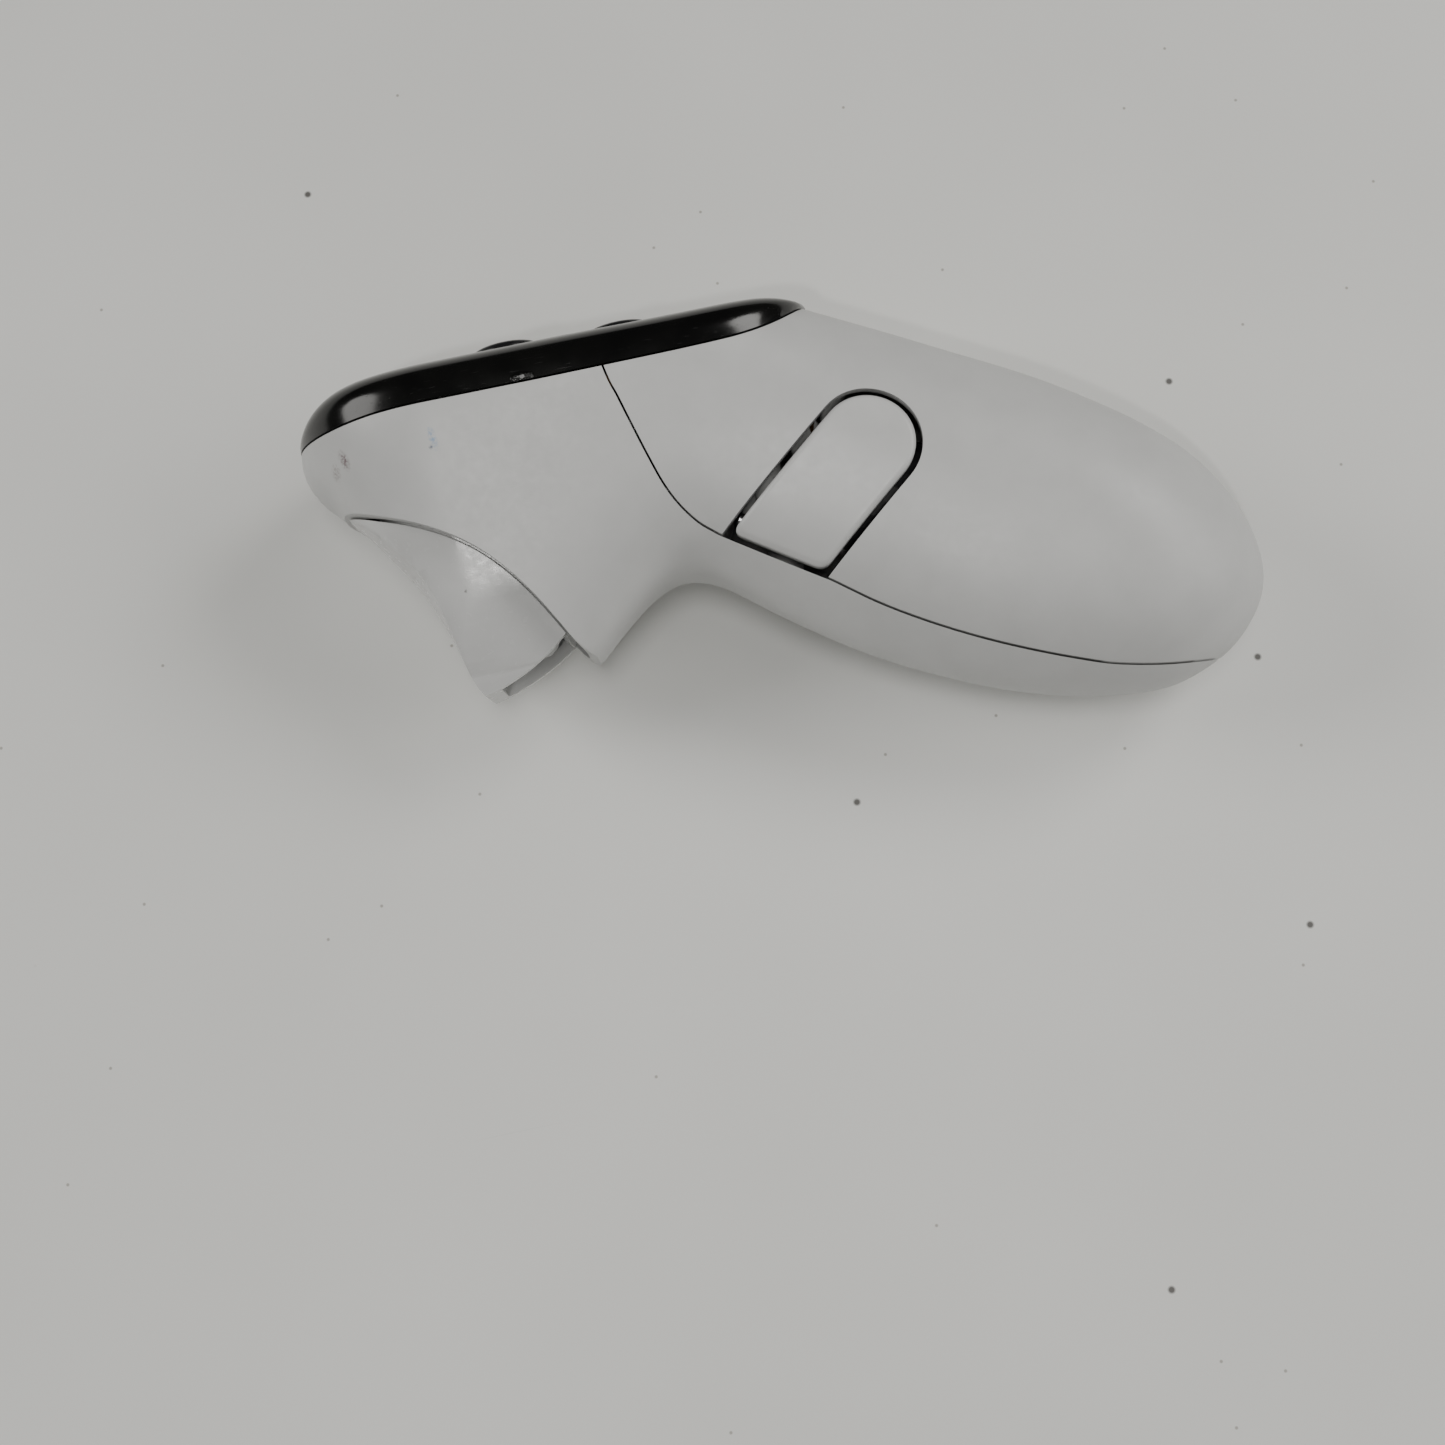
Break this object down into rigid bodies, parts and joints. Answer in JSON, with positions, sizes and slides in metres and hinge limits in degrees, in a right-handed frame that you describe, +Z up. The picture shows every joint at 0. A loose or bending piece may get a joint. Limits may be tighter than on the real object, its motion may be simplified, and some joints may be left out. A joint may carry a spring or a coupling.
{
  "type": "handheld motion controller",
  "caption": "One-handed motion controller with a domed black face, white grip handle, finger trigger, grip button, thumbstick and low round buttons, lying on its side.",
  "frame": {"origin": "on the table, under the middle of the box around the controller as it lies on its right side", "axes": "+X from the nose to the handle end, +Y out of the face side, +Z up from the table through the left side"},
  "size_m": [0.1268, 0.0684, 0.04],
  "materials": {
    "white_plastic": "fine moulded texture",
    "white_gloss": "satin",
    "black_gloss": "glossy",
    "black_satin": "satin",
    "soft_touch": "matte",
    "switch_grey": "satin",
    "sheet_steel": "satin",
    "dark_plastic": "matte",
    "pin_steel": "polished",
    "spring_steel": "satin",
    "magnet_nickel": "plated",
    "board_green": "solder mask",
    "screw_steel": "black oxide",
    "flex_amber": "film",
    "cell_label": "printed sleeve",
    "contact_nickel": "plated"
  },
  "bodies": {
    "shell": {"front_housing": "white_plastic", "rear_housing": "white_plastic", "face_cover": "black_gloss", "switch_a": "switch_grey", "switch_b": "switch_grey", "switch_menu": "switch_grey", "stick_base": "sheet_steel", "haptic_motor": "sheet_steel", "chassis": "dark_plastic", "battery_tray": "dark_plastic", "trigger_pin": "pin_steel", "grip_pin": "pin_steel", "trigger_spring": "spring_steel", "grip_spring": "spring_steel", "main_board": "board_green", "trigger_sensor": "board_green", "grip_sensor": "board_green", "chassis_screw_1": "screw_steel", "chassis_screw_2": "screw_steel", "chassis_screw_3": "screw_steel", "flex_cable": "flex_amber", "led_ring": "flex_amber", "battery": "cell_label", "plus_contact": "contact_nickel", "minus_spring": "contact_nickel"},
    "trigger": {"trigger": "white_plastic", "trigger_magnet": "magnet_nickel"},
    "grip": {"grip_button": "white_gloss", "grip_magnet": "magnet_nickel"},
    "button_a": {"button_a": "black_satin"},
    "button_b": {"button_b": "black_satin"},
    "menu_button": {"menu_button": "black_satin"},
    "stick_ring": {"stick_gimbal": "dark_plastic"},
    "stick_stem": {"stick_shaft": "dark_plastic"},
    "stick_cap": {"thumbstick_cap": "soft_touch"},
    "door": {"battery_door": "white_plastic"}
  },
  "joints": [
    {"name": "trigger_pull", "type": "hinge", "parent": "shell", "child": "trigger", "pos_m": [-0.05058, 0.01417, 0.01829], "axis": [-0.0253, -0.1236, 0.992], "range_deg": [0, 14], "stiffness_Nm_per_rad": 0.08, "springref_deg": -20.05, "deforming": ["trigger_spring"]},
    {"name": "grip_squeeze", "type": "hinge", "parent": "shell", "child": "grip", "pos_m": [-0.0005, -0.00483, 0.02567], "axis": [-0.8231, 0.5658, 0.0495], "range_deg": [0, 6], "stiffness_Nm_per_rad": 0.05, "springref_deg": -17.19, "deforming": ["grip_spring"]},
    {"name": "button_a_press", "type": "slide", "parent": "shell", "child": "button_a", "axis": [0.0032, -0.9923, -0.1236], "range_m": [0, 0.0009], "stiffness_N_per_m": 400, "springref_m": -0.0006},
    {"name": "button_b_press", "type": "slide", "parent": "shell", "child": "button_b", "axis": [0.0032, -0.9923, -0.1236], "range_m": [0, 0.0009], "stiffness_N_per_m": 400, "springref_m": -0.0006},
    {"name": "menu_press", "type": "slide", "parent": "shell", "child": "menu_button", "axis": [0.0032, -0.9923, -0.1236], "range_m": [0, 0.0006], "stiffness_N_per_m": 300, "springref_m": -0.0006},
    {"name": "stick_tilt_side", "type": "hinge", "parent": "shell", "child": "stick_ring", "pos_m": [-0.03739, 0.01823, 0.01107], "axis": [0.9997, 0, 0.0255], "range_deg": [-9, 9], "stiffness_Nm_per_rad": 0.02},
    {"name": "stick_tilt_fore", "type": "hinge", "parent": "stick_ring", "child": "stick_stem", "pos_m": [-0.03739, 0.01823, 0.01107], "axis": [-0.0253, -0.1236, 0.992], "range_deg": [-9, 9], "stiffness_Nm_per_rad": 0.02},
    {"name": "stick_press", "type": "slide", "parent": "stick_stem", "child": "stick_cap", "axis": [0.0032, -0.9923, -0.1236], "range_m": [0, 0.0004], "stiffness_N_per_m": 600, "springref_m": -0.001},
    {"name": "door_slide", "type": "slide", "parent": "shell", "child": "door", "axis": [0.8921, -0.4505, -0.0333], "range_m": [0, 0.056]}
  ]
}
